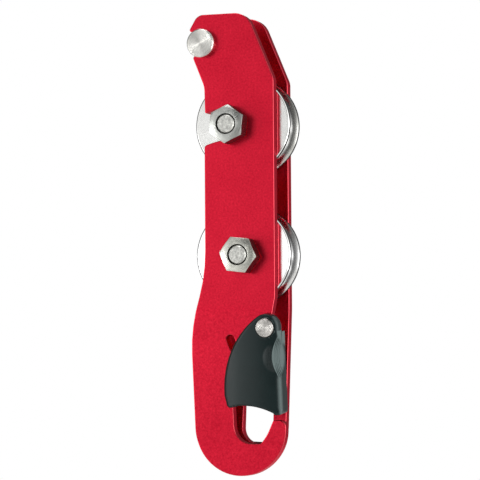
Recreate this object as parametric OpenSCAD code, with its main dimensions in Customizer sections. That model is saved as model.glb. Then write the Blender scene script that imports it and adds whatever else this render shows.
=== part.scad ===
// Double-bobbin friction descender: two fixed bobbins between a fixed and a swinging side plate.
// Millimetres. Origin: centre of the attachment eye. X to the right, Y to the rear, Z up.

/* [Side plates] */
// Thickness of both side plates
plate_t = 4; // [3.4:0.1:4.6]
// Clear space between the side plates at the bobbins
gap = 13.5; // [13:0.1:16]
// Width of the plates' straight middle
plate_w = 28.2; // [27:0.2:31]
// Centre line of plates and bobbins, measured from the eye
axis_x = -2.7; // [-3.4:0.1:-2]
// Top edge above the eye
top_z = 159.4; // [158:0.1:162]
// How far the head reaches left of the centre line
head_reach = 20.4; // [20:0.1:22]
// Height of the fixed plate's cut left corner
head_cut_h = 6.3; // [5.8:0.1:6.6]
// Width of both plates' cut left corner
head_cut_w = 3.7; // [3:0.1:4.5]
// Lean of the neck
neck_angle = 22.5; // [20:0.5:25]
// Height where the left edge turns into the neck
left_knee_z = 131.4; // [130:0.2:133]
// Height where the right edge turns into the neck
right_knee_z = 133.6; // [132:0.2:136]
// Bend that brings the lower ends together
bend_angle = 6.5; // [5:0.1:7]
// Inside radius of both bends
bend_r = 24; // [10:1:26]
// Height of the upper bend
upper_bend_z = 45.7; // [45:0.1:47]
// Height of the lower bend
lower_bend_z = -6.1; // [-7:0.1:-5]

/* [Lower end] */
// Radius of the moving plate's round foot
foot_r = 18.4; // [17.8:0.1:19]
// Centre of the foot, left of the eye
foot_x = -4.75; // [-5:0.05:-4.5]
// Radius of the hook opening in the moving plate
hook_r = 7.3; // [7:0.1:7.8]
// Depth of the hook opening below the eye's centre
hook_drop = 6.2; // [5.6:0.1:6.6]
// Radius of the eye in the fixed plate
eye_r = 6.1; // [5.8:0.1:6.8]
// Straight rise of the eye above its centre
eye_rise = 12; // [9:0.5:15]
// Top of the hook's nose
nose_z = 2.8; // [2.4:0.1:3]

/* [Bobbins] */
// Outside radius of the flanges
bobbin_r = 19.15; // [18:0.05:20]
// Distance between the bobbin axes
bobbin_pitch = 50.2; // [48:0.1:52]
// Height of the lower bobbin's axis above the eye
bobbin_z = 66.2; // [66:0.1:67]
// Radius of the rope groove's section
groove_r = 5.2; // [4.6:0.1:5.4]
// Depth from the rim to the section's centre
groove_inset = 0.9; // [0:0.1:1.5]
// Upper bolt, from the centre line
upper_bolt_dx = -3.1; // [-4:0.1:-2]
// Lower bolt, from the centre line
lower_bolt_dx = 1.3; // [0:0.1:2.5]
// How far both bolts sit below the bobbins' axes
bolt_drop = 0.4; // [0:0.1:1]

/* [Fasteners] */
// Thread diameter of the bolts
bolt_d = 8; // [7.5:0.1:8.2]
// Nut and bolt head across flats
hex_af = 13; // [12.5:0.1:13.5]
// Height of a nut
nut_h = 6.5; // [6:0.1:6.8]
// Height of a bolt head
head_h = 5.3; // [4.5:0.1:5.5]
// Depth of the turned-down end that each bolt shows in its nut
bolt_tip = 1.8; // [1:0.1:3]
// How much narrower that end is, on the radius
tip_step = 0.5; // [0.3:0.05:0.8]
// How far the bolt's end stands out of its nut
bolt_proud = 0.2; // [0.1:0.1:1]
// Turn of the upper nut
upper_nut_turn = 6; // [-30:1:30]
// Turn of the lower nut
lower_nut_turn = -23; // [-30:1:30]
// Outside radius of the hooking collar and the pivot bush
collar_r = 4.85; // [4.7:0.05:5.2]
// Thickness of the rear washers
washer_t = 1.6; // [1.2:0.1:2]
// Outside radius of the rear washers
washer_r = 8; // [7.6:0.1:8.5]
// Thickness of the thin washers beside the moving plate
face_washer_t = 0.3; // [0.2:0.05:0.4]
// Radius of the locating pins
dowel_r = 2; // [1.6:0.1:2.4]

/* [Guide pin] */
// Height of the guide pin above the eye
guide_z = 148.1; // [147.5:0.1:149]
// Guide pin left of the centre line
guide_dx = -14.65; // [-14.8:0.05:-14]
// Radius of the pin's head
guide_head_r = 5.55; // [5.2:0.05:6]
// Thickness of the pin's head
guide_head_t = 2.8; // [2.2:0.1:3.4]
// Radius of the pin's shank
guide_r = 3.6; // [3:0.1:3.8]
// Outside radius of the spacer sleeve
sleeve_r = 5.8; // [5:0.1:6.2]

/* [Gate] */
// Rivet right of the eye
rivet_x = 8.5; // [8.3:0.1:8.7]
// Rivet above the eye
rivet_z = 38.4; // [38:0.1:38.6]
// Radius of the gate's round top
gate_r = 5.2; // [5:0.1:5.4]
// Thickness of the gate in front of the plate
gate_t = 4.9; // [4.6:0.1:5.4]
// Length from the rivet to the gate's tip
gate_len = 33.5; // [33:0.1:33.8]
// Radius of the gate's long curved edge
gate_edge_r = 35; // [34:0.5:37]
// Angle on the round top where the long curved edge starts
gate_edge_start = 124.4; // [122:0.2:126]
// How far the gate reaches right of the rivet
gate_side = 5.35; // [5.2:0.05:5.45]
// Radius of the hollow under the gate
gate_under_r = 24.4; // [22:0.2:28]
// How far that hollow's highest point is below the rivet
gate_under_z = 29.8; // [29.4:0.1:30.2]
// How far it is left of the rivet
gate_under_x = 10; // [9.5:0.1:10.5]
// Where the block in the hook's mouth starts, below the rivet
plug_top = 1.9; // [1.5:0.1:2.5]
// How far the block reaches left, from the rivet's line
plug_left = 0.3; // [0.1:0.1:0.8]
// Radius of the thumb rest's hollow
thumb_r = 14.4; // [13.5:0.1:15]
// Axis of the thumb rest's hollow, right of the rivet
thumb_x = 17.8; // [17.5:0.1:18.2]
// Axis of the thumb rest's hollow, below the rivet
thumb_z = 11.4; // [11:0.1:12]
// Lean of that axis
thumb_angle = 21.8; // [20:0.2:24]
// Travel of the gate
gate_travel = 27; // [24:1:27]
// Radius of the rivet's shank
rivet_r = 2; // [1.7:0.1:2.1]
// Radius of the rivet's front head
rivet_head_r = 3.55; // [3.3:0.05:3.6]
// Distance from the rivet to the guide slot
slot_pitch = 16.3; // [15.6:0.1:16.6]
// Radius of the stop pin in the slot
stop_r = 1.45; // [1.2:0.05:1.5]
// Wire radius of the gate spring
wire_r = 0.32; // [0.25:0.01:0.36]
// Mean radius of the gate spring
spring_r = 3.45; // [3.4:0.05:3.5]

/* [Clearances] */
// Radial running clearance of the pivots
run = 0.05; // [0.03:0.01:0.08]
// Space between the moving plate and what it slides past
slide = 0.1; // [0.08:0.01:0.2]
// Clearance around what the notches and the slot take
notch_gap = 0.15; // [0.12:0.01:0.25]
// Radial fit of bolts and pins held in one body
fit = 0.02; // [0.01:0.01:0.03]

/* [Hidden] */
$fn = 72;

eps = 0.01;
// Room that the rounding of a notch's lower corner takes along its edge
corner_room = 2;
inner_y = gap / 2;
outer_y = inner_y + plate_t;
half_w = plate_w / 2;
left_x = axis_x - half_w;
right_x = axis_x + half_w;
head_x = axis_x - head_reach;
bolt_r = bolt_d / 2;
bobbin_front_y = -inner_y + face_washer_t + slide;
nut_y = -outer_y - slide;
upper_z = bobbin_z + bobbin_pitch;
pivot = [axis_x + lower_bolt_dx, bobbin_z - bolt_drop];
hook_bolt = [axis_x + upper_bolt_dx, upper_z - bolt_drop];
guide = [axis_x + guide_dx, guide_z];
rivet = [rivet_x, rivet_z];
lobe_r = gate_r - 1;
// Slot angles about the rivet: the stop pin's place at rest, and with the gate open
stop_angle = 223.5;
slot_r = stop_r + notch_gap;
rivet_y = -outer_y + (upper_bend_z - rivet_z) * tan(bend_angle);
// Free space right of this line, seen from the rivet, is swept by the gate
sweep_angle = 270 - gate_travel - 1.5;
spring_hole_r = wire_r + 0.1;
spring_start = 150;

function pol(r, a) = [r * cos(a), r * sin(a)];
// Points along a circle, from angle a0 to a1
function arc(c, r, a0, a1, n = 10) = [for (i = [0:n]) c + pol(r, a0 + (a1 - a0) * i / n)];
function flat(v) = [v[0], v[1]];
function unit(v) = v / norm(v);

// Arc that rounds corner b, between a and c, to the radius b[2]
function fillet(a, b, c) =
  let (u = unit(flat(a) - flat(b)), v = unit(flat(c) - flat(b)),
       half = acos(u * v) / 2, mid = flat(b) + unit(u + v) * b[2] / sin(half),
       p = flat(b) + u * b[2] / tan(half) - mid, q = flat(b) + v * b[2] / tan(half) - mid,
       a0 = atan2(p[1], p[0]), turn = (atan2(q[1], q[0]) - a0 + 540) % 360 - 180)
  arc(mid, b[2], a0, a0 + turn, max(2, ceil(abs(turn) / 6)));

// Outline from corners [x, z, radius]; a corner without a radius is kept as it is
function rounded(p) = [for (i = [0:len(p) - 1])
  each (len(p[i]) > 2 ? fillet(p[(i + len(p) - 1) % len(p)], p[i], p[(i + 1) % len(p)]) : [p[i]])];

// Corners that both plates share, from the right knee over the head to its cut left corner
function head_corners() = [
  [right_x, right_knee_z, 6],
  [right_x - (top_z - right_knee_z) * tan(neck_angle), top_z, 8],
  [head_x + head_cut_w, top_z, 4]];

// Open notch that hooks on a pin: its lower edge is a circle about the pivot, which the pin leaves along,
// and its upper edge is straight, from the seat at the angle up. Corners [x, radius] end both edges.
// lip is [width, drop] of a lip that hangs down at the upper edge's end.
function notch(pin, r, up, upper, lower, lip = [0, 0]) =
  let (to = pin - pivot, a = atan2(to[1], to[0]), low_r = norm(to) - r, lead = pin + pol(r, up),
       a_low = acos((lower[0] - pivot[0]) / low_r), room = corner_room / low_r * 180 / PI,
       x = upper[0] + lip[0], z = lead[1] + (lead[0] - x) * tan(90 - up))
  concat([[upper[0], z - lip[1], upper[1]]], lip[0] > 0 ? [[x, z, 2]] : [],
    arc(pin, r, up, a - 180, 16), arc(pivot, low_r, a + 0.5, a_low - room, 4),
    [[lower[0], pivot[1] + low_r * sin(a_low), lower[1]]]);

module fixed_outline() polygon(rounded(concat(head_corners(), [
  [head_x, top_z - head_cut_h, 3],
  [head_x, left_knee_z + (left_x - head_x) / tan(neck_angle), 5],
  [left_x, left_knee_z, 8]],
  arc([axis_x, 0], half_w, 180, 360, 30))));

module moving_outline() polygon(rounded(concat(head_corners(),
  notch(guide, guide_r + notch_gap, 78, [head_x, 0.8], [head_x + 1.5, 1]), [
  [left_x, left_knee_z, 8]],
  notch(hook_bolt, collar_r + notch_gap, 78, [left_x + 0.3, 0.6], [left_x, 1.3], [4.6, 1.6]), [
  [left_x, bobbin_z - 7.2, 65],
  [foot_x - foot_r, bobbin_z - 29.7, 60]],
  arc([foot_x, -0.1], foot_r, 180, 360, 36), [
  [foot_x + foot_r, nose_z, 2.5],
  [hook_r + 1.4, nose_z, 0.8],
  [hook_r - 1.3, -0.45 * hook_drop, 14],
  [0.45 * hook_r, -hook_drop, 1.2],
  [-hook_r, -hook_drop, hook_r - 0.3],
  [-hook_r, 8.4, 3]],
  arc(rivet, lobe_r, sweep_angle, 360 + 65, 20), [
  [right_x - 1.5, rivet_z + lobe_r - 0.2, 0.4],
  [right_x, rivet_z + 11.4, 12]])));

// Side view of a bent plate, as a thick sheet across the whole width; side is -1 in front, 1 at the rear
module sheet_profile(side) {
  low_in = inner_y - (upper_bend_z - lower_bend_z) * tan(bend_angle);
  low_out = low_in + plate_t;
  rotate([90, 0, 90]) translate([0, 0, -60]) linear_extrude(120) polygon([
    for (p = rounded([[inner_y, top_z + 1], [inner_y, upper_bend_z, bend_r],
                      [low_in, lower_bend_z, bend_r + plate_t], [low_in, -30],
                      [low_out, -30], [low_out, lower_bend_z, bend_r],
                      [outer_y, upper_bend_z, bend_r + plate_t], [outer_y, top_z + 1]]))
      [side * p[0], p[1]]]);
}

// Bent plate: the sheet cut to an outline
module bent_plate(side) intersection() {
  sheet_profile(side);
  rotate([90, 0, 0]) translate([0, 0, -20]) linear_extrude(40) children();
}

// Round bar or bore along Y, from y0 to y1, at a point [x, z]
module bar(at, r, y0, y1) translate([at[0], y0, at[1]]) rotate([-90, 0, 0]) cylinder(r = r, h = y1 - y0);
module ring(at, r_out, r_in, y0, y1) difference() {
  bar(at, r_out, y0, y1);
  bar(at, r_in, y0 - 1, y1 + 1);
}

// Places a piece in the gate's own frame: rivet axis along Y, plate face at y = 0
module on_panel() translate([rivet[0], rivet_y, rivet[1]]) rotate([bend_angle, 0, 0]) children();

// Hexagon of a nut or bolt head, its corners chamfered, from y0 to y1
module hex(at, turn, y0, y1) intersection() {
  r = hex_af / 2 / cos(30);
  translate([at[0], y0, at[1]]) rotate([-90, 0, 0]) rotate([0, 0, turn]) rotate([0, 0, 90])
    cylinder(r = r, h = y1 - y0, $fn = 6);
  translate([at[0], y0, at[1]]) rotate([-90, 0, 0]) rotate_extrude() polygon([
    [0, 0], [hex_af / 2 * 0.95, 0], [r + 0.2, 0.75], [r + 0.2, y1 - y0 - 0.75],
    [hex_af / 2 * 0.95, y1 - y0], [0, y1 - y0]]);
}

module fixed_side_plate() color("#8c141c") difference() {
  bent_plate(1) fixed_outline();
  bar(guide, guide_r + fit, 0, 20);
  for (at = [hook_bolt, pivot]) bar(at, bolt_r + fit, 0, 20);
  for (at = [upper_dowel(), lower_dowel()]) bar(at, dowel_r + fit, 0, 20);
  bar([0, 0], eye_r, -10, 20);
  bar([0, eye_rise], eye_r, -10, 20);
  translate([-eye_r, -10, 0]) cube([2 * eye_r, 30, eye_rise]);
}

module moving_side_plate() color("#c81e32") difference() {
  bent_plate(-1) moving_outline();
  bar(pivot, collar_r + run, -20, 0);
  on_panel() {
    bar([0, 0], rivet_r + fit, -5, 10);
    bar(pol(spring_r, spring_start), spring_hole_r, -5, 10);
    gate_slot();
  }
}

// Arc slot that the gate's stop pin runs in, about the rivet
module gate_slot() {
  a0 = stop_angle - gate_travel - 0.5;
  a1 = stop_angle + 0.5;
  for (a = [a0, a1]) bar(pol(slot_pitch, a), slot_r, -5, 10);
  translate([0, 10, 0]) rotate([90, 0, 0]) linear_extrude(15) intersection() {
    difference() {
      circle(r = slot_pitch + slot_r);
      circle(r = slot_pitch - slot_r);
    }
    polygon([[0, 0], pol(40, a0), pol(40, a1)]);
  }
}

// Turned bobbin with an off-centre bolt bore, a blind pin hole and a round rope groove
module bobbin(z, bolt, dowel) difference() {
  wide = inner_y - bobbin_front_y;
  translate([axis_x, bobbin_front_y, z]) rotate([-90, 0, 0]) rotate_extrude() difference() {
    polygon([[0, 0], [bobbin_r - 0.5, 0], [bobbin_r, 0.5], [bobbin_r, wide - 0.5],
             [bobbin_r - 0.5, wide], [0, wide]]);
    translate([bobbin_r - groove_inset, wide / 2]) circle(r = groove_r);
  }
  bar(bolt, bolt_r + fit, -10, 10);
  bar(dowel, dowel_r + fit, inner_y - 5.2, 10);
}

function upper_dowel() = [axis_x + 7, upper_z];
function lower_dowel() = [axis_x - 8, bobbin_z];

module upper_bobbin() color("#c9cbcc") bobbin(upper_z, hook_bolt, upper_dowel());
module lower_bobbin() color("#c4c6c8") bobbin(bobbin_z, pivot, lower_dowel());

module axle_bolt(at, turn) {
  end_y = nut_y - nut_h - bolt_proud;
  head_y = outer_y + washer_t;
  tip_r = bolt_r - tip_step;
  translate([at[0], end_y, at[1]]) rotate([-90, 0, 0]) rotate_extrude() polygon([
    [0, 0], [tip_r - 0.4, 0], [tip_r, 0.4], [tip_r, bolt_tip], [bolt_r, bolt_tip + tip_step],
    [bolt_r, head_y + eps - end_y], [0, head_y + eps - end_y]]);
  hex(at, turn, head_y, head_y + head_h);
}
module upper_axle_bolt() color("#b4b5b2") axle_bolt(hook_bolt, 10);
module lower_axle_bolt() color("#b4b5b2") axle_bolt(pivot, -8);

module axle_nut(at, turn) difference() {
  front_y = nut_y - nut_h;
  hex(at, turn, front_y, nut_y);
  bar(at, bolt_r + fit, front_y - 1, nut_y + 1);
}
module upper_axle_nut() color("#a9aaa6") axle_nut(hook_bolt, upper_nut_turn);
module lower_axle_nut() color("#a9aaa6") axle_nut(pivot, lower_nut_turn);

// Shouldered sleeves under the nuts: the nut stops on them and leaves the plate free
module hooking_collar() color("#9c9d9a") ring(hook_bolt, collar_r, bolt_r + fit, nut_y, bobbin_front_y);
module pivot_bush() color("#b08d4a") ring(pivot, collar_r, bolt_r + fit, nut_y, bobbin_front_y);

module face_washer(at) ring(at, collar_r + 3.2, collar_r + fit, bobbin_front_y - face_washer_t, bobbin_front_y);
module upper_face_washer() color("#8f9090") face_washer(hook_bolt);
module lower_friction_washer() color("#7d6a3c") face_washer(pivot);

module rear_washer(at) ring(at, washer_r, bolt_r + fit, outer_y, outer_y + washer_t);
module upper_rear_washer() color("#b9bab7") rear_washer(hook_bolt);
module lower_rear_washer() color("#b9bab7") rear_washer(pivot);

module upper_locating_pin() color("#8a8b8c") bar(upper_dowel(), dowel_r, inner_y - 5, outer_y - 0.3);
module lower_locating_pin() color("#8a8b8c") bar(lower_dowel(), dowel_r, inner_y - 5, outer_y - 0.3);

// Turned pin: broad front head, plain shank, rear end peened over its washer
module guide_pin() color("#b6b7b2") {
  head_y = -outer_y - 2 * slide;
  peen_y = outer_y + washer_t - 0.4;
  translate([guide[0], head_y, guide[1]]) rotate([90, 0, 0]) rotate_extrude() polygon([
    [0, 0], [guide_head_r, 0], [guide_head_r, guide_head_t - 0.5],
    [guide_head_r - 0.5, guide_head_t], [0, guide_head_t]]);
  bar(guide, guide_r, head_y - eps, peen_y + eps);
  translate([guide[0], peen_y, guide[1]]) rotate([-90, 0, 0]) rotate_extrude() polygon([
    [0, 0], [guide_r + 1.4, 0], [guide_r + 1.2, 0.7], [guide_r, 1.4], [0, 1.6]]);
}
module guide_pin_sleeve() color("#9fa1a0") ring(guide, sleeve_r, guide_r + fit, -inner_y + 3 * slide, inner_y);
module guide_pin_washer() color("#b9bab7")
  ring(guide, guide_r + 2.1, guide_r + fit, outer_y, outer_y + washer_t - 0.4);

// Outline of the gate's front, in its own frame: a round top, the long curved edge that runs off it, a
// blunt lower corner, the hollow underneath, and the tip
module gate_outline() {
  edge = pol(gate_edge_r - gate_r, gate_edge_start - 180);
  under = [-gate_under_x, -gate_under_z - gate_under_r];
  heel = edge + pol(gate_edge_r, 182.5);
  polygon(rounded(concat(
    arc([0, 0], gate_r, 0, gate_edge_start, 15),
    arc(edge, gate_edge_r, gate_edge_start + 2, 182.5, 14), [
    [heel[0] + 1.2, heel[1] - 4.9, 1.6],
    [-gate_under_x - 2, -gate_under_z, 4]],
    arc(under, gate_under_r, 90, 61.5, 8), [
    [plug_left + 1.9, -gate_len, 0.4],
    [gate_side, -gate_len, 1.7],
    [gate_side, -0.6 * gate_len, 20]])));
}

module panel_extrude(y0, y1) translate([0, y1, 0]) rotate([90, 0, 0]) linear_extrude(y1 - y0) children();

// Moulded gate: a broad front, and a block that fills the hook's mouth in the plate's plane
module gate() color("#2e3838") on_panel() difference() {
  union() {
    panel_extrude(-gate_t, -slide) gate_outline();
    panel_extrude(-slide - eps, plate_t - 0.4) difference() {
      intersection() {
        gate_outline();
        translate([plug_left, -2 * gate_len]) square([gate_len, 2 * gate_len - plug_top]);
      }
      circle(r = lobe_r + 0.4);
    }
  }
  bar([0, 0], rivet_r + run + 0.45, -gate_t - 1, 1);
  bar([0, 0], rivet_head_r + 0.2, -gate_t - 1, -gate_t + 0.7);
  bar([0, 0], spring_r + wire_r + 0.5, -2.5, 0);
  bar(pol(spring_r, spring_end()), spring_hole_r, -3.6, 0);
  bar(pol(slot_pitch, stop_angle), stop_r + fit, -3.5, 0);
  thumb_scoop();
}

// Thumb rest: a leaning cylinder that hollows the right front edge
module thumb_scoop() translate([thumb_x, -gate_t, -thumb_z]) rotate([0, 0, -thumb_angle]) rotate([-90, 0, 0])
  translate([0, 0, -10]) cylinder(r = thumb_r, h = 30);

module gate_bush() color("#b08d4a") on_panel()
  ring([0, 0], rivet_r + run + 0.45, rivet_r + run, -gate_t + 0.7, -slide);

module gate_stop_pin() color("#8a8b8c") on_panel()
  bar(pol(slot_pitch, stop_angle), stop_r, -3.4, plate_t - 0.4);

module gate_rivet() color("#b4b5b2") on_panel() {
  head_y = -gate_t + 0.7 - slide;
  translate([0, head_y, 0]) rotate([90, 0, 0]) rotate_extrude() polygon([
    [0, 0], [rivet_head_r, 0], [rivet_head_r, 0.75], [rivet_head_r - 0.25, 1], [0, 1]]);
  bar([0, 0], rivet_r, head_y - eps, plate_t + 0.6 + eps);
  translate([0, plate_t + 0.6, 0]) rotate([-90, 0, 0]) rotate_extrude() polygon([
    [0, 0], [rivet_r + 0.9, 0], [rivet_r + 0.7, 0.5], [rivet_r, 0.9], [0, 1]]);
}
module gate_rivet_washer() color("#b9bab7") on_panel()
  ring([0, 0], rivet_r + 1.7, rivet_r + fit, plate_t * cos(bend_angle), plate_t + 0.6);

// Torsion spring: one tail in the plate, turns in the gate's recess, the other tail in the gate
spring_turns = 2.25;
spring_low = -0.5;
spring_high = -2.1;
function spring_end() = spring_start + 360 * spring_turns;
function spring_path() = concat(
  [[each pol(spring_r, spring_start), -1.2]],
  [for (i = [0:2 * 27]) let (s = i / 54, p = pol(spring_r, spring_start + 360 * spring_turns * s))
    [p[0], p[1], -spring_low + (spring_low - spring_high) * s]],
  [[each pol(spring_r, spring_end()), 3.4]]);

// Round wire along a path, its rings set square to the path
module wire(path, r, sides = 8) {
  last = len(path) - 1;
  function along(i) = unit(path[min(i + 1, last)] - path[max(i - 1, 0)]);
  function across(i) = unit(cross(along(i), [path[i][0], path[i][1], 0]));
  pts = [for (i = [0:last], k = [0:sides - 1]) let (w = across(i), v = cross(w, along(i)))
    path[i] + r * (cos(360 * k / sides) * v + sin(360 * k / sides) * w)];
  polyhedron(pts, concat([[for (k = [0:sides - 1]) k]], [[for (k = [sides - 1:-1:0]) last * sides + k]],
    [for (i = [0:last - 1], k = [0:sides - 1]) let (n = (k + 1) % sides)
      [i * sides + k, (i + 1) * sides + k, (i + 1) * sides + n, i * sides + n]]));
}
module gate_spring() color("#9a9c9d") on_panel() rotate([90, 0, 0]) wire(spring_path(), wire_r);

fixed_side_plate();
moving_side_plate();
upper_bobbin();
lower_bobbin();
upper_axle_bolt();
lower_axle_bolt();
upper_axle_nut();
lower_axle_nut();
hooking_collar();
pivot_bush();
upper_face_washer();
lower_friction_washer();
upper_rear_washer();
lower_rear_washer();
upper_locating_pin();
lower_locating_pin();
guide_pin();
guide_pin_sleeve();
guide_pin_washer();
gate();
gate_rivet();
gate_rivet_washer();
gate_bush();
gate_stop_pin();
gate_spring();
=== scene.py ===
# A double-bobbin friction descender: two fixed bobbins between a fixed and a swinging side plate, and a
# spring gate at the lower eye. Metres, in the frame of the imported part.
import math

import bmesh
import bpy
from mathutils import Matrix, Vector
from mathutils.geometry import delaunay_2d_cdt
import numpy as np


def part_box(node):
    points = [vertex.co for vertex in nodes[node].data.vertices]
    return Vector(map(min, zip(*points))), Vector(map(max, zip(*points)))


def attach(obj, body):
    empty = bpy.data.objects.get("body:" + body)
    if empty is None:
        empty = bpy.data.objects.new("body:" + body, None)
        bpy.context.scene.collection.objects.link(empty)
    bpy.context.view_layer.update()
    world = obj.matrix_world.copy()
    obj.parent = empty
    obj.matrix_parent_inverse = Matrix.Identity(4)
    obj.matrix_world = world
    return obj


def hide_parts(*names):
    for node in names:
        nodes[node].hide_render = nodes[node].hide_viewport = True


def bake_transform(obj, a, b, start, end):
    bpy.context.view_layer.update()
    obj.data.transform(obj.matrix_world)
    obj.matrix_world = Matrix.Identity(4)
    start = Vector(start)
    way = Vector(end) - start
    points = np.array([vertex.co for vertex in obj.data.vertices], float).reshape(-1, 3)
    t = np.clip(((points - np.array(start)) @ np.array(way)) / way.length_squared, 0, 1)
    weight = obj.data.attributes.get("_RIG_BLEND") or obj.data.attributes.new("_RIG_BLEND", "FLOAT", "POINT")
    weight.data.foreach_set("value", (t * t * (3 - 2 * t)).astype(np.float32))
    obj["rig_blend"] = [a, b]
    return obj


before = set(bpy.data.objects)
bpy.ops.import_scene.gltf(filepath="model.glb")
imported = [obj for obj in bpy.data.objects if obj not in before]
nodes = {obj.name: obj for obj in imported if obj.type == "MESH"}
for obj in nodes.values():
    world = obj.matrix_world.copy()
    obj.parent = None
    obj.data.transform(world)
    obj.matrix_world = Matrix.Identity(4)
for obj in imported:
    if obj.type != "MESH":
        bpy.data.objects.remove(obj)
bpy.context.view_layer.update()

# ---------------------------------------------------------------- Camera
# A long lens one metre away, to the right of the front plate's middle and a little below it, tipped up
# and rolled by a hair.
MM = 0.001
azimuth, elevation, roll = math.radians(19.3), math.radians(-3.5), math.radians(-0.38)
aim = Vector((-6.23, 0, 72.43)) * MM
distance = 1.0
back = Vector((math.sin(azimuth) * math.cos(elevation), -math.cos(azimuth) * math.cos(elevation),
               math.sin(elevation)))
level_right = (-back).cross(Vector((0, 0, 1))).normalized()
level_up = level_right.cross(-back)
right = level_right * math.cos(roll) + level_up * math.sin(roll)
up = level_up * math.cos(roll) - level_right * math.sin(roll)

camera = bpy.data.objects.new("camera", bpy.data.cameras.new("camera"))
camera.data.lens = 193.7
camera.data.sensor_width = 36
turn = Matrix((right, up, back)).transposed().to_4x4()
camera.matrix_world = Matrix.Translation(aim + back * distance) @ turn
bpy.context.scene.collection.objects.link(camera)
bpy.context.scene.camera = camera
bpy.context.scene.view_settings.view_transform = "Standard"


# ---------------------------------------------------------------- Studio
# A pale floor under the hanging descender, a surround of light and dark stretches that the metal mirrors, and
# three soft boxes: a key at the left, one overhead and a wide one at the right for the plates' edges.
class Wire:
    """An output of a node. Arithmetic on it adds the Math nodes that it needs."""

    def __init__(self, finish, socket):
        self.finish, self.socket = finish, socket

    def math(self, operation, *values):
        return self.finish.node("ShaderNodeMath", {"operation": operation}, dict(enumerate(values)))

    def __add__(self, other):
        return self.math("ADD", self, other)

    def __sub__(self, other):
        return self.math("SUBTRACT", self, other)

    def __rsub__(self, other):
        return self.math("SUBTRACT", other, self)

    def __mul__(self, other):
        return self.math("MULTIPLY", self, other)

    def __truediv__(self, other):
        return self.math("DIVIDE", self, other)

    def __abs__(self):
        return self.math("ABSOLUTE", self)

    __radd__, __rmul__ = __add__, __mul__


class Finish:
    """A material's or the world's nodes. node() adds one of any kind and gives one of its outputs."""

    def __init__(self, owner):
        owner.use_nodes = True
        self.owner, self.tree = owner, owner.node_tree

    def plug(self, node, values):
        for name, value in values.items():
            if isinstance(value, Wire):
                self.tree.links.new(value.socket, node.inputs[name])
            else:
                node.inputs[name].default_value = value

    def node(self, kind, settings=None, values=None, out=0):
        node = self.tree.nodes.new(kind)
        for name, value in (settings or {}).items():
            if name == "stops":
                ramp = node.color_ramp.elements
                while len(ramp) < len(value):
                    ramp.new(0.5)
                for element, (place, colour) in zip(ramp, value):
                    element.position, element.color = place, (*colour, 1)
            else:
                setattr(node, name, value)
        self.plug(node, values or {})
        return Wire(self, node.outputs[out])

    def vector(self, operation, *values, out="Vector", **named):
        sockets = {**dict(enumerate(values)), **named}
        return self.node("ShaderNodeVectorMath", {"operation": operation}, sockets, out)

    def mixed(self, factor, first, second):
        """One colour turned into a second one as the factor goes from 0 to 1."""
        colours = [c if isinstance(c, Wire) else (*c, 1) for c in (first, second)]
        return self.node("ShaderNodeMix", {"data_type": "RGBA"},
                         {"Factor": factor, 6: colours[0], 7: colours[1]}, out=2)

    def share(self, value, start, end, most=1.0, curve="LINEAR"):
        """0 up to where the value is start, rising to most where it is end."""
        return self.node("ShaderNodeMapRange", {"interpolation_type": curve},
                         {"Value": value, "From Min": start, "From Max": end, "To Max": most})

    def facing(self, axis):
        """How far the surface faces along an axis, from -1 to 1."""
        normal = self.node("ShaderNodeNewGeometry", out="Normal")
        return self.node("ShaderNodeSeparateXYZ", values={0: normal}, out=axis)

    def surface(self, **values):
        """Sets the Principled shader's sockets; a socket's name is written with underscores."""
        self.plug(self.tree.nodes["Principled BSDF"], {k.replace("_", " "): v for k, v in values.items()})
        return self.owner


def linear(red, green, blue):
    """The colour that is written 0 to 255 a channel, as shaders take it."""
    shares = (v / 255 for v in (red, green, blue))
    return tuple(((s + 0.055) / 1.055) ** 2.4 if s > 0.04045 else s / 12.92 for s in shares)


floor_z, floor_half = -0.11, 0.42
floor_mesh = bpy.data.meshes.new("floor")
corners = [(x * floor_half, y * floor_half, floor_z) for x, y in ((-1, -1), (1, -1), (1, 1), (-1, 1))]
floor_mesh.from_pydata(corners, [], [(0, 1, 2, 3)])
floor = bpy.data.objects.new("floor", floor_mesh)
bpy.context.scene.collection.objects.link(floor)
floor_finish = Finish(bpy.data.materials.new("pale_floor"))
floor_mesh.materials.append(floor_finish.surface(Base_Color=(*linear(232, 231, 229), 1), Roughness=0.85))

world = bpy.data.worlds.new("surround")
bpy.context.scene.world = world
sky = Finish(world)
seen = sky.node("ShaderNodeLightPath", out="Is Camera Ray")
direction = sky.node("ShaderNodeTexCoord", out="Generated")
ahead, aside, height = (sky.node("ShaderNodeSeparateXYZ", values={0: direction}, out=axis) for axis in "YXZ")
bearing = aside.math("ARCTAN2", aside, ahead * -1.0) * (0.5 / math.pi) + 0.5


def bands(fac, *stops):
    """A grey that changes with an angle: pairs of a share of the whole range and a brightness."""
    greys = [(place, (level,) * 3) for place, level in stops]
    return sky.node("ShaderNodeValToRGB", {"stops": greys}, {"Fac": fac})


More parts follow.
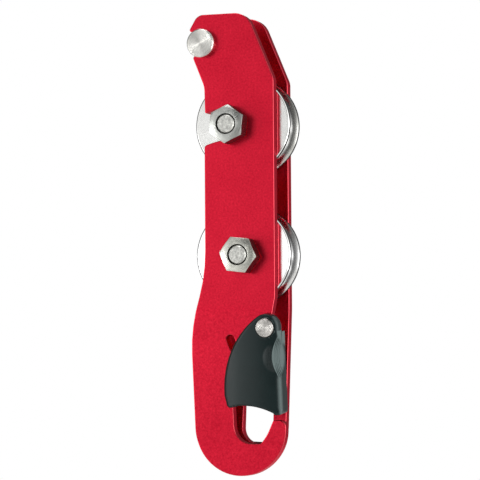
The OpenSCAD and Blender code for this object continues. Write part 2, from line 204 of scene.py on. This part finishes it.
# A bearing is 0 behind the descender, 0.25 at its left, 0.5 in front of it and 0.75 at its right. A rise is 0
# straight down, 0.5 level and 1 straight up. From the right round to the back there is one soft wall, and
# elsewhere a dark strip lies just below level.
round_about = bands(bearing, (0.0, 0.4), (0.05, 0.3), (0.12, 0.55), (0.18, 0.1), (0.22, 0.08), (0.27, 0.3),
                    (0.31, 1.2), (0.36, 2.0), (0.41, 1.7), (0.44, 1.12), (0.468, 0.5), (0.495, 0.1),
                    (0.545, 0.12), (0.58, 1.0), (0.63, 1.6), (0.69, 3.0), (0.78, 2.2), (0.86, 1.0),
                    (0.93, 0.35), (1.0, 0.4))
rise = height * 0.5 + 0.5
up_and_down = bands(rise, (0.0, 0.2), (0.1, 0.5), (0.25, 0.85), (0.35, 1.02), (0.395, 1.0), (0.43, 0.4),
                    (0.475, 0.4), (0.51, 1.12), (0.54, 1.08), (0.56, 0.75), (0.625, 0.45), (0.75, 0.3),
                    (1.0, 0.25))
soft_wall = bands(rise, (0.2, 0.2), (0.42, 0.6), (0.58, 0.6), (0.8, 0.2))
at_right = bands(bearing, (0.0, 0.0), (0.68, 0.0), (0.76, 1.0), (1.0, 1.0))
shadow_fill, mirror_level, matt_level = 0.02, 1.2, 0.75
surround = (round_about * (up_and_down * (1 - at_right) + soft_wall * at_right) + shadow_fill) * mirror_level
matt = sky.node("ShaderNodeLightPath", out="Is Diffuse Ray")
light = sky.mixed(matt, surround, (matt_level,) * 3)
dim = sky.node("ShaderNodeBackground", values={"Color": light, "Strength": 1.0})
white = sky.node("ShaderNodeBackground", values={"Color": (1, 1, 1, 1), "Strength": 1.0})
both = sky.node("ShaderNodeMixShader", values={0: seen, 1: dim, 2: white})
sky.tree.links.new(both.socket, sky.tree.nodes["World Output"].inputs["Surface"])


def soft_box(name, place, size, power):
    """A rectangular lamp at a place, turned to face the descender."""
    lamp = bpy.data.lights.new(name, "AREA")
    lamp.shape, lamp.size, lamp.size_y, lamp.energy = "RECTANGLE", size[0], size[1], power
    box = bpy.data.objects.new(name, lamp)
    box.location = place
    box.rotation_euler = (Vector(place) - aim).to_track_quat("Z", "Y").to_euler()
    bpy.context.scene.collection.objects.link(box)


soft_box("left_key", (-0.80, -0.58, -0.06), (0.35, 0.45), 2.2)
soft_box("ceiling", (-0.1, -0.25, 0.9), (0.5, 0.5), 2.5)
soft_box("right_wall", (1.0, -0.05, 0.05), (0.5, 0.7), 1.2)


# ---------------------------------------------------------------- Side plates
# Two 4 mm sheets of aluminium, punched, tumbled until their edges are rounded, bent at the lower end and
# anodised red. The front one swings on the lower bolt, the rear one is fixed.
plate_round = 0.4 * MM


def softened(name, node, width):
    """A copy of a CAD node as one clean mesh with rounded edges; it stands for the node."""
    mesh = nodes[node].data.copy()
    mesh.name = name
    for layer in [a for a in mesh.attributes if a.name == "custom_normal"]:
        mesh.attributes.remove(layer)
    shape = bmesh.new()
    shape.from_mesh(mesh)
    bmesh.ops.remove_doubles(shape, verts=shape.verts, dist=1e-6)
    bmesh.ops.dissolve_limit(shape, angle_limit=math.radians(0.3), verts=shape.verts, edges=shape.edges)
    shape.to_mesh(mesh)
    shape.free()
    mesh.materials.clear()
    mesh.shade_smooth()
    piece = bpy.data.objects.new(name, mesh)
    bpy.context.scene.collection.objects.link(piece)
    bevel = piece.modifiers.new("rounding", "BEVEL")
    bevel.width, bevel.segments = width, 3
    bevel.limit_method, bevel.angle_limit = "ANGLE", math.radians(35)
    bevel.harden_normals = True
    bevel.use_clamp_overlap = width < plate_round
    bpy.context.view_layer.update()
    finished = bpy.data.meshes.new_from_object(piece.evaluated_get(bpy.context.evaluated_depsgraph_get()))
    piece.modifiers.clear()
    piece.data = finished
    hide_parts(node)
    return piece


red = Finish(bpy.data.materials.new("red_anodised"))
place = red.node("ShaderNodeTexCoord", out="Object")
cloudy = red.node("ShaderNodeTexNoise", values={"Vector": place, "Scale": 90.0, "Detail": 3.0})
grain = red.node("ShaderNodeTexNoise",
                 values={"Vector": place, "Scale": 1300.0, "Detail": 3.0, "Roughness": 0.7})
deep_red, light_red, edge_highlight_pink = linear(188, 10, 40), linear(240, 40, 66), linear(255, 170, 176)
hue = red.mixed(cloudy * 0.5 + (grain - 0.5) * 1.6 + 0.25, deep_red, light_red)
# A painted highlight: the rounded edges, which face neither square on nor fully aside, are painted towards a
# pale pink.
square_on = abs(red.facing("Y"))
off_faces = red.share(square_on, 0.97, 0.75, curve="SMOOTHSTEP")
off_flanks = red.share(square_on, 0.05, 0.3, curve="SMOOTHSTEP")
hue = red.mixed(off_faces * off_flanks * 0.15, hue, edge_highlight_pink)
bend_top, bend_foot, bend_swell = 49 * MM, 33 * MM, 0.6 * MM
up_plate = red.node("ShaderNodeSeparateXYZ", values={0: place}, out="Z")
soft_bend = red.share(up_plate, bend_top, bend_foot, bend_swell, "SMOOTHSTEP")
bent = red.node("ShaderNodeBump", values={"Height": soft_bend, "Distance": 1.0})
tumbled = red.node("ShaderNodeBump",
                   values={"Height": grain, "Strength": 0.25, "Distance": 0.08 * MM, "Normal": bent})
red_anodised = red.surface(Base_Color=hue, Metallic=1.0, Roughness=0.26 + 0.14 * grain, Normal=tumbled,
                           Specular_Tint=(1.0, 0.5, 0.55, 1), Coat_Weight=0.1, Coat_Roughness=0.2)

for plate_name, plate_node, plate_body in (("front_side_plate", "moving_side_plate", "front_plate"),
                                           ("rear_side_plate", "fixed_side_plate", "frame")):
    plate = softened(plate_name, plate_node, plate_round)
    plate.data.materials.append(red_anodised)
    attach(plate, plate_body)

# ---------------------------------------------------------------- Bobbins
# Two fixed grooved bobbins, the upper one of polished stainless steel and the lower one of turned
# aluminium: each a lathe form with soft rims, fine rings on its faces and a smooth rope groove.
def centre_of(node):
    """The axis along Y of a round node, as (x, z)."""
    low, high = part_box(node)
    return (low[0] + high[0]) / 2, (low[2] + high[2]) / 2


def turned(finish, centre, tilt, pitch):
    """A shading normal that tilts to and fro in fine rings about an axis along Y, as a lathe leaves them."""
    place = finish.node("ShaderNodeTexCoord", out="Object")
    apart = finish.vector("SUBTRACT", place, (centre[0], 0, centre[1]))
    across = finish.vector("MULTIPLY", apart, (1, 0, 1))
    radius = finish.vector("LENGTH", across, out="Value")
    along = finish.node("ShaderNodeSeparateXYZ", values={0: place}, out="Y")
    rings = finish.node("ShaderNodeTexNoise", {"noise_dimensions": "1D"}, {"W": radius / pitch, "Detail": 2.0})
    turns = finish.node("ShaderNodeTexNoise", {"noise_dimensions": "1D"}, {"W": along / pitch, "Detail": 2.0})
    outward = finish.vector("SCALE", finish.vector("NORMALIZE", across), Scale=(rings - 0.5) * tilt)
    back = finish.vector("SCALE", (0, 1, 0), Scale=(turns - 0.5) * tilt)
    leaning = finish.node("ShaderNodeVectorTransform",
                          {"vector_type": "VECTOR", "convert_from": "OBJECT", "convert_to": "WORLD"},
                          {0: finish.vector("ADD", outward, back)})
    flat = finish.node("ShaderNodeNewGeometry", out="Normal")
    return finish.vector("NORMALIZE", finish.vector("ADD", flat, leaning))


def lathe_metal(name, node, tint, roughness, tilt, stain=1.0, sides=1.0, slope=0.35, rim=None):
    """A metal finish cut on a lathe about a node's own axis. Stain is how blotchy it is. Where the surface
    faces less than slope along the axis, its colour is times the given factor: a painted shade on its side
    faces where that is below 1, a painted light where it is above 1. Beyond the radius rim it is painted
    near black, a painted dark outline that reaches further in where the surface faces left."""
    metal = Finish(bpy.data.materials.new(name))
    place = metal.node("ShaderNodeTexCoord", out="Object")
    cloud = metal.node("ShaderNodeTexNoise", values={"Vector": place, "Scale": 420.0 * stain, "Detail": 4.0})
    dull, bright = [c * 0.82 ** stain for c in tint], [min(1, c * 1.1 ** stain) for c in tint]
    tone = metal.mixed((cloud - 0.5) * stain + 0.5, dull, bright)
    side = metal.share(abs(metal.facing("Y")), slope, slope - 0.25, curve="SMOOTHSTEP")
    tone = metal.mixed(side, tone, [min(1, c * sides) for c in tint])
    # Past the rim radius the colour is painted near black: a painted dark outline, reaching further in where
    # the surface faces left.
    if rim:
        x, z = centre_of(node)
        across = metal.vector("MULTIPLY", metal.vector("SUBTRACT", place, (x, 0, z)), (1, 0, 1))
        reach = metal.vector("LENGTH", across, out="Value")
        wider = metal.share(metal.facing("X"), -0.1, -0.4, most=0.3 * MM)
        painted_outline = metal.share(reach + wider, rim - 0.1 * MM, rim)
        tone = metal.mixed(painted_outline, tone, [c * 0.08 for c in tint])
    return metal.surface(Base_Color=tone, Metallic=1.0, Roughness=roughness + 0.12 * (cloud - 0.5),
                         Normal=turned(metal, centre_of(node), tilt, pitch=0.05 * MM))


bobbin_round, painted_outline_radius = 0.15 * MM, 18.98 * MM
# The bobbins' curved faces are painted lighter by the factor in each row, as painted light.
for bobbin_name, slot_name, tint, roughness, tilt, sides in (
        ("upper_bobbin", "stainless_polished", (0.76, 0.76, 0.74), 0.12, 0.35, 1.3),
        ("lower_bobbin", "aluminium_turned", (0.95, 0.95, 0.94), 0.10, 0.25, 1.04)):
    bobbin = softened(bobbin_name + "_turned", bobbin_name, bobbin_round)
    bobbin.data.materials.append(
        lathe_metal(slot_name, bobbin_name, tint, roughness, tilt, sides=sides, slope=0.98, rim=painted_outline_radius))
    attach(bobbin, "frame")

# ---------------------------------------------------------------- Bolts, nuts, pins and washers
# Zinc-plated bolts with chamfered nuts, a turned stainless guide pin, dowels, washers, the steel collar
# and the bronze bush. Each is its CAD solid with rounded edges and rings cut about its own axis.
# Each row gives the node, slot, body, tint, roughness, tilt of the rings and rounding of the edges in
# millimetres, and then, where they are not plain, how stained it is and how bright its side faces are
# painted, which on the nuts is a painted shade.
ZINC, STAINLESS, STEEL, BRONZE = (0.66, 0.66, 0.62), (0.72, 0.71, 0.67), (0.5, 0.5, 0.49), (0.62, 0.42, 0.18)
for node_name, slot_name, body, tint, roughness, tilt, edge, *more in (
        ("upper_axle_bolt", "zinc_steel", "frame", ZINC, 0.36, 0.7, 0.25, 2.6),
        ("lower_axle_bolt", "zinc_steel", "frame", ZINC, 0.36, 0.7, 0.25, 2.6),
        ("upper_axle_nut", "zinc_steel", "frame", (0.54, 0.55, 0.52), 0.28, 1.4, 0.3, 1.0, 0.25),
        ("lower_axle_nut", "zinc_steel", "frame", (0.64, 0.64, 0.58), 0.28, 1.3, 0.3, 1.0, 0.25),
        ("hooking_collar", "plain_steel", "frame", STEEL, 0.3, 0.4, 0.1),
        ("pivot_bush", "bronze", "frame", BRONZE, 0.32, 0.3, 0.1),
        ("upper_face_washer", "plain_steel", "frame", STEEL, 0.3, 0.4, 0.05),
        ("lower_friction_washer", "bronze", "frame", BRONZE, 0.35, 0.3, 0.05),
        ("upper_rear_washer", "zinc_steel", "frame", ZINC, 0.3, 0.4, 0.2),
        ("lower_rear_washer", "zinc_steel", "frame", ZINC, 0.3, 0.4, 0.2),
        ("upper_locating_pin", "plain_steel", "frame", STEEL, 0.28, 0.2, 0.15),
        ("lower_locating_pin", "plain_steel", "frame", STEEL, 0.28, 0.2, 0.15),
        ("guide_pin", "stainless_satin", "frame", STAINLESS, 0.22, 2.4, 0.2),
        ("guide_pin_sleeve", "stainless_satin", "frame", STAINLESS, 0.24, 0.3, 0.15),
        ("guide_pin_washer", "zinc_steel", "frame", ZINC, 0.3, 0.4, 0.15),
        ("gate_rivet", "stainless_satin", "front_plate", (0.6, 0.58, 0.55), 0.24, 2.2, 0.1, 2.0),
        ("gate_rivet_washer", "zinc_steel", "front_plate", ZINC, 0.3, 0.4, 0.1),
        ("gate_bush", "bronze", "gate", BRONZE, 0.32, 0.3, 0.05),
        ("gate_stop_pin", "plain_steel", "gate", STEEL, 0.28, 0.2, 0.15)):
    piece = softened(node_name + "_dressed", node_name, edge * MM)
    piece.data.materials.append(lathe_metal(node_name + "_metal", node_name, tint, roughness, tilt,
                                            **dict(zip(("stain", "sides"), more))))
    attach(piece, body)

# ---------------------------------------------------------------- Gate
# A moulded black plastic gate that closes the eye: lofted in rings from its front face to its back, with
# a rivet pocket, a hollow and a thumb rest at its right edge, and a plug that fills the hook's opening.
bend, bend_z = math.radians(6.5), 45.7
rivet_x, rivet_z, plate_front = 8.5, 38.4, -10.75
panel = Vector((rivet_x, plate_front + (bend_z - rivet_z) * math.tan(bend), rivet_z))
thick, hub_r, side_u, foot_w = 4.9, 5.2, 5.35, -33.5


def on_panel(u, v, w):
    """A point of the gate in the shared frame, from millimetres off the rivet on the bent panel: u to the
    right, v to the back and w up along the panel."""
    off = Vector((u, v * math.cos(bend) - w * math.sin(bend), v * math.sin(bend) + w * math.cos(bend)))
    return (panel + off) * MM


def bow(centre, radius, start, end, count):
    """Points along a circle between two angles in degrees."""
    turns = [math.radians(start + (end - start) * i / count) for i in range(count + 1)]
    return [Vector((centre[0] + radius * math.cos(t), centre[1] + radius * math.sin(t))) for t in turns]


def rounded(corners):
    """An outline from corners (u, w, radius); a corner without a radius stays as it is."""
    outline = []
    for i, corner in enumerate(corners):
        here = Vector(corner[:2])
        if len(corner) < 3:
            outline.append(here)
            continue
        before = (Vector(corners[i - 1][:2]) - here).normalized()
        after = (Vector(corners[(i + 1) % len(corners)][:2]) - here).normalized()
        half = before.angle(after) / 2
        middle = here + (before + after).normalized() * corner[2] / math.sin(half)
        first = here + before * corner[2] / math.tan(half) - middle
        last = here + after * corner[2] / math.tan(half) - middle
        outline += [middle + first.slerp(last, k / 8) * corner[2] for k in range(9)]
    return outline


def even(outline, step):
    """The same closed outline with points a step apart."""
    gaps = [(outline[(i + 1) % len(outline)] - point).length for i, point in enumerate(outline)]
    count, points, at, passed = round(sum(gaps) / step), [], 0, 0.0
    for k in range(count):
        goal = sum(gaps) * k / count
        while passed + gaps[at] < goal:
            passed += gaps[at]
            at += 1
        points.append(outline[at].lerp(outline[(at + 1) % len(outline)], (goal - passed) / gaps[at]))
    return points


def outward(outline):
    """The outline's unit normals, pointing out of it."""
    around = [outline[(i + 1) % len(outline)] - outline[i - 1] for i in range(len(outline))]
    return [Vector((step.y, -step.x)).normalized() for step in around]


def wall(shape, rings):
    """Closed bands of faces between rings that have as many points each."""
    for near, far in zip(rings, rings[1:]):
        for i in range(len(near)):
            shape.faces.new((near[i], far[i], far[i - 1], near[i - 1]))


# The outline, from the hub's right side over its top: a long curve at the left, the heel, the curve over
# the eye, and the foot with its corners.
left_r, left_start, left_end = 35, 124.4, 182.5
left_middle = bow((0, 0), left_r - hub_r, left_start - 180, 0, 1)[0]
heel = bow(left_middle, left_r, left_end, 0, 1)[0]
eye_middle, eye_r, eye_right = (-10, -54.2), 24.4, 61.5
foot_left, foot_corner = (2.2, foot_w, 0.4), (side_u, foot_w, 1.7)
loop = even(rounded(bow((0, 0), hub_r, 0, left_start, 24)
                    + bow(left_middle, left_r, left_start + 2, left_end, 30)
                    + [(heel.x + 1.2, heel.y - 4.9, 1.6), (-12, -29.8, 4)]
                    + bow(eye_middle, eye_r, 90, eye_right, 10)
                    + [foot_left, foot_corner, (side_u, -20)]), 0.3)
normals = outward(loop)


def rounding(point, normal):
    """The front edge's radius: larger at the left, and much larger at the right above and below the rest."""
    at_right = 1.6 if point.y < -18 else 0.7 if point.y > -3 else 0
    return 0.8 + 0.5 * max(0.0, -normal.x) ** 2 + at_right * max(0.0, normal.x) ** 4


soft = [rounding(point, normal) for point, normal in zip(loop, normals)]
soft = [sum(soft[(i + k) % len(loop)] for k in range(-6, 7)) / 13 for i in range(len(loop))]

crown_u, left_fall, left_width, right_fall, right_width = -4, 1.3, 12, 0.75, 7.5
ridge_u, ridge_w, ridge_half_u, ridge_half_w, ridge_h = 3.4, -11.5, 4.6, 5.4, 0.65
rest_u, rest_w, rest_r, rest_half_w, rest_lean = 16.9, -11.4, 14.4, 14, math.tan(math.radians(20))


def relief(u, w):
    """How deep the front face is sunk: its crown, less the ridge that the thumb rest is cut in."""
    fall, width = (left_fall, left_width) if u < crown_u else (right_fall, right_width)
    near_ridge = 1 - ((u - ridge_u) / ridge_half_u) ** 2 - ((w - ridge_w) / ridge_half_w) ** 2
    return fall * ((u - crown_u) / width) ** 2 - ridge_h * max(0.0, near_ridge)


def rest_edge(depth, w):
    """Where the thumb rest, a leaning cylinder, cuts the right side at a depth behind the front face."""
    if abs(w - rest_w) >= rest_half_w:
        return side_u
    return rest_u + depth * rest_lean - math.sqrt(rest_r ** 2 - (w - rest_w) ** 2)


def ring_at(depth):
    """The gate's outline at a depth behind its front face: the edge's rounding, and the thumb rest's cut."""
    ring = []
    for point, normal, radius in zip(loop, normals, soft):
        place = point - normal * (radius - math.sqrt(radius ** 2 - max(0.0, radius - depth) ** 2))
        if normal.x > 0.5:
            place.x = min(place.x, rest_edge(depth, place.y))
        ring.append(place)
    return ring


def fill(shape, outline, rim, ring, rim_ring, depth, step):
    """Closes the area between an outline and a round hole in it with an even net of triangles."""
    hole = rim[0].length
    low_w, high_w = min(p.y for p in outline), max(p.y for p in outline)
    inside = []
    for j in range(int((high_w - low_w) / step)):
        w = low_w + (j + 0.5) * step
        crossings = sorted(p.x + (q.x - p.x) * (w - p.y) / (q.y - p.y)
                           for p, q in zip(outline, outline[1:] + outline[:1]) if (p.y > w) != (q.y > w))
        for start, end in zip(crossings[::2], crossings[1::2]):
            u = start + step * (0.6 + 0.4 * (j % 2))
            while u < end - 0.6 * step:
                if math.hypot(u, w) > hole + 0.6 * step:
                    inside.append(Vector((u, w)))
                u += step
    count, around = len(outline), len(rim)
    edges = [(i, (i + 1) % count) for i in range(count)]
    edges += [(count + i, count + (i + 1) % around) for i in range(around)]
    placed, _, faces, origin, _, _ = delaunay_2d_cdt(outline + rim + inside, edges, [], 1, 1e-6)
    known = ring + rim_ring
    verts = [known[o[0]] if o and o[0] < len(known) else
             shape.verts.new(on_panel(p.x, -thick + depth + (relief(*p) if depth == 0 else 0), p.y))
             for p, o in zip(placed, origin)]
    for face in faces:
        if sum((placed[k] for k in face), Vector((0, 0))).length / 3 > hole:
            shape.faces.new([verts[k] for k in face])


back_depth = 4.8
depths = [0, 0.03, 0.1, 0.2, 0.33, 0.5, 0.7, 0.95, 1.25, 1.6, 2.0, 2.4, 2.8, 3.3, 3.8, 4.3, back_depth]
outlines = [ring_at(depth) for depth in depths]
shape = bmesh.new()
rings = [[shape.verts.new(on_panel(p.x, -thick + depth + relief(*p) * (1 - depth / back_depth), p.y))
          for p in outline] for depth, outline in zip(depths, outlines)]
wall(shape, rings)

# The bore, as (radius, depth) from the back: the spring's recess, the bush and the pocket of the rivet's head.
recess_r, bush_r, pocket_r, recess_end, pocket_end = 4.27, 2.5, 3.75, 2.4, 0.7
bore = [(recess_r, back_depth), (recess_r, recess_end), (bush_r, recess_end), (bush_r, pocket_end),
        (pocket_r, pocket_end), (pocket_r, 0.1), (pocket_r + 0.1, 0.0)]
rims = [bow((0, 0), radius, 0, 355, 71) for radius, depth in bore]
bore_rings = [[shape.verts.new(on_panel(p.x, -thick + depth, p.y)) for p in rim]
              for (radius, depth), rim in zip(bore, rims)]
wall(shape, bore_rings)
fill(shape, outlines[0], rims[-1], rings[0], bore_rings[-1], 0, 0.3)
fill(shape, outlines[-1], rims[0], rings[-1], bore_rings[0], back_depth, 1.2)

# The plug at the back: each ring of it lies v behind the plate's front and is drawn in by its inset.
plug = even(rounded(bow((0, 0), 4.6, 273.7, 335.6, 12) + [(side_u, -1.9), foot_corner, foot_left]
                    + bow(eye_middle, eye_r, eye_right, 65.1, 3)[:-1] + [(0.3, -32.1)])[::-1], 0.4)
plug_rings = []
for v, inset in ((-0.4, 0.03), (-0.1, 0.01), (0.6, 0.01), (1.3, 0.01), (2.0, 0.01), (2.7, 0.01), (3.1, 0.0),
                 (3.45, 0.12), (3.6, 0.35)):
    drawn_in = [point - normal * inset for point, normal in zip(plug, outward(plug))]
    plug_rings.append([shape.verts.new(on_panel(min(drawn.x, rest_edge(thick + v, point.y)), v, drawn.y))
                       for drawn, point in zip(drawn_in, plug)])
wall(shape, plug_rings)
shape.faces.new(plug_rings[0])
shape.faces.new(plug_rings[-1][::-1])
bmesh.ops.recalc_face_normals(shape, faces=shape.faces)
bmesh.ops.triangulate(shape, faces=[face for face in shape.faces if len(face.verts) > 4])
gate_mesh = bpy.data.meshes.new("gate_moulded")
shape.to_mesh(gate_mesh)
shape.free()
gate_mesh.shade_smooth()
gate_mesh.set_sharp_from_angle(angle=math.radians(38))

# Where the gate is dull and painted pale: a painted light on the thumb rest and on the fin above it, which
# face the right, and a painted highlight along the right rounding, brighter lower down.
rest = gate_mesh.attributes.new("thumb_rest", "FLOAT", "CORNER")
for face in gate_mesh.polygons:
    for corner in face.loop_indices if face.normal.x > 0.3 else ():
        vertex = gate_mesh.vertices[gate_mesh.loops[corner].vertex_index]
        off = vertex.co / MM - panel
        v = off.y * math.cos(bend) + off.z * math.sin(bend)
        w = off.z * math.cos(bend) - off.y * math.sin(bend)
        shine = 0.45 + 0.5 * max(0.0, min(1.0, (-14 - w) / 6))
        painted_highlight = [shine * (1 - abs(vertex.normal.x - 0.72) / 0.3) if off.x > 3 and v < -2 else 0.0]
        if face.normal.x > 0.6 and w < -1.5:
            painted_highlight += [(side_u - rest_edge(thick + v, w)) / 0.4, (w + 8) / 2 if off.x > 4.5 else 0.0]
        rest.data[corner].value = max(0.0, min(1.0, max(painted_highlight)))
gate = bpy.data.objects.new("gate_moulded", gate_mesh)
bpy.context.scene.collection.objects.link(gate)

black = Finish(bpy.data.materials.new("black_plastic"))
place = black.node("ShaderNodeTexCoord", out="Object")
flow = black.node("ShaderNodeTexNoise", values={"Vector": place, "Scale": 160.0, "Detail": 3.0})
pits = black.node("ShaderNodeTexNoise", values={"Vector": place, "Scale": 2200.0, "Detail": 2.0})
# The marked places are painted pale grey: painted light on the thumb rest, the fin and the ribs, and a painted
# highlight on the right rounding.
rest = black.node("ShaderNodeAttribute", {"attribute_name": "thumb_rest"}, out="Fac")
# Surfaces that face left are painted black: a painted shade along the gate's left edge.
painted_dark_left = black.share(black.facing("X"), -0.15, -0.45)
tone = black.mixed(flow, linear(0, 20, 21), linear(4, 28, 28))
tone = black.mixed(painted_dark_left, black.mixed(rest, tone, linear(104, 119, 118)), (0, 0, 0))
gate_mesh.materials.append(black.surface(
    Base_Color=tone, Roughness=0.26 + 0.10 * flow + rest * 0.25 + painted_dark_left * 0.4, Specular_IOR_Level=0.35,
    Normal=black.node("ShaderNodeBump", values={"Height": pits, "Strength": 0.3, "Distance": 0.06 * MM})))
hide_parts("gate")
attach(gate, "gate")

# ---------------------------------------------------------------- Grip ribs and gate spring
# Fine ribs moulded along the thumb rest and on the ridge beside it, and the torsion spring of drawn
# steel wire round the gate's bush. One leg of the spring stands in the plate, the gate holds the other.
round_bar = bpy.data.node_groups.new("round_bar", "GeometryNodeTree")
round_bar.interface.new_socket("Paths", in_out="INPUT", socket_type="NodeSocketGeometry")
bar_inputs = {name: round_bar.interface.new_socket(name, in_out="INPUT", socket_type=kind).identifier
              for name, kind in (("Bar Radius", "NodeSocketFloat"), ("Bend Radius", "NodeSocketFloat"),
                                 ("Finish", "NodeSocketMaterial"))}
round_bar.interface.new_socket("Bars", in_out="OUTPUT", socket_type="NodeSocketGeometry")
given = round_bar.nodes.new("NodeGroupInput")
to_curve = round_bar.nodes.new("GeometryNodeMeshToCurve")
eased = round_bar.nodes.new("GeometryNodeFilletCurve")
section = round_bar.nodes.new("GeometryNodeCurvePrimitiveCircle")
swept = round_bar.nodes.new("GeometryNodeCurveToMesh")
realised = round_bar.nodes.new("GeometryNodeRealizeInstances")
finished = round_bar.nodes.new("GeometryNodeSetMaterial")
result = round_bar.nodes.new("NodeGroupOutput")
eased.mode = "POLY"
eased.inputs["Count"].default_value = 5
eased.inputs["Limit Radius"].default_value = True
section.inputs["Resolution"].default_value = 12
swept.inputs["Fill Caps"].default_value = True
for source, target in ((given.outputs["Paths"], to_curve.inputs["Mesh"]),
                       (to_curve.outputs["Curve"], eased.inputs["Curve"]),
                       (given.outputs["Bend Radius"], eased.inputs["Radius"]),
                       (given.outputs["Bar Radius"], section.inputs["Radius"]),
                       (eased.outputs["Curve"], swept.inputs["Curve"]),
                       (section.outputs["Curve"], swept.inputs["Profile Curve"]),
                       (swept.outputs["Mesh"], realised.inputs["Geometry"]),
                       (realised.outputs["Geometry"], finished.inputs["Geometry"]),
                       (given.outputs["Finish"], finished.inputs["Material"]),
                       (finished.outputs["Geometry"], result.inputs["Bars"])):
    round_bar.links.new(source, target)


def bars(name, paths, radius, easing, finish):
    """Round bars along paths on the gate's panel, as one mesh; a path is a list of points (u, v, w)."""
    points, edges = [], []
    for path in paths:
        edges += [(len(points) + i, len(points) + i + 1) for i in range(len(path) - 1)]
        points += [on_panel(*point) for point in path]
    lines = bpy.data.meshes.new(name + "_lines")
    lines.from_pydata(points, edges, [])
    piece = bpy.data.objects.new(name, lines)
    bpy.context.scene.collection.objects.link(piece)
    sweep = piece.modifiers.new("bars", "NODES")
    sweep.node_group = round_bar
    for socket, value in (("Bar Radius", radius), ("Bend Radius", easing), ("Finish", finish)):
        sweep[bar_inputs[socket]] = value
    bpy.context.view_layer.update()
    mesh = bpy.data.meshes.new_from_object(piece.evaluated_get(bpy.context.evaluated_depsgraph_get()))
    piece.modifiers.clear()
    piece.data = mesh
    mesh.shade_smooth()
    mesh.set_sharp_from_angle(angle=math.radians(50))
    return piece


rib_r, rib_sunk = 0.14, 0.05
rib_paths = []
for depth in (1.4, 2.3, 3.2, 4.1):
    reach = 0.94 * math.sqrt(rest_r ** 2 - (rest_u + depth * rest_lean - side_u) ** 2)
    heights = [rest_w + reach * k / 12 for k in range(-12, 13)]
    rib_paths.append([(rest_edge(depth, w) - rib_sunk, -thick + depth, w) for w in heights])
for u in (0.5, 1.05, 1.6, 2.15):
    reach = ridge_half_w * math.sqrt(0.8 - ((u - ridge_u) / ridge_half_u) ** 2)
    heights = [ridge_w + reach * k / 8 for k in range(-8, 9)]
    rib_paths.append([(u, -thick + relief(u, w) + rib_sunk, w) for w in heights])
ribs = bars("gate_grip_ribs", rib_paths, rib_r * MM, 0.0, gate_mesh.materials[0])
# The ribs on the thumb rest are marked for the same painted light.
rib_painted_light = ribs.data.attributes.new("thumb_rest", "FLOAT", "POINT")
for vertex, mark in zip(ribs.data.vertices, rib_painted_light.data):
    mark.value = 0.8 if vertex.co.x / MM - panel.x > 2.4 else 0.0
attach(ribs, "gate")

# The wire, as (angle, v): a leg that stands in the plate, the coil, and a leg in the gate.
wire_r, coil_r, coil_start, coil_turn, steps = 0.32, 3.45, 150, 810, 108
coil_back, coil_long = -0.5, 1.6
wound = [(coil_start + coil_turn * i / steps, coil_back - coil_long * i / steps) for i in range(steps + 1)]
wound = [(coil_start, 1.2)] + wound + [(coil_start + coil_turn, -3.4)]
wire = [(coil_r * math.cos(math.radians(turn)), v, coil_r * math.sin(math.radians(turn))) for turn, v in wound]
spring_steel = lathe_metal("gate_spring_metal", "gate_spring", STEEL, 0.3, 0.0)
spring = bars("gate_spring_wound", [wire], wire_r * MM, 0.4 * MM, spring_steel)
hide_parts("gate_spring")
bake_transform(spring, "front_plate", "gate", start=on_panel(0, -0.2, 0), end=on_panel(0, -2.3, 0))
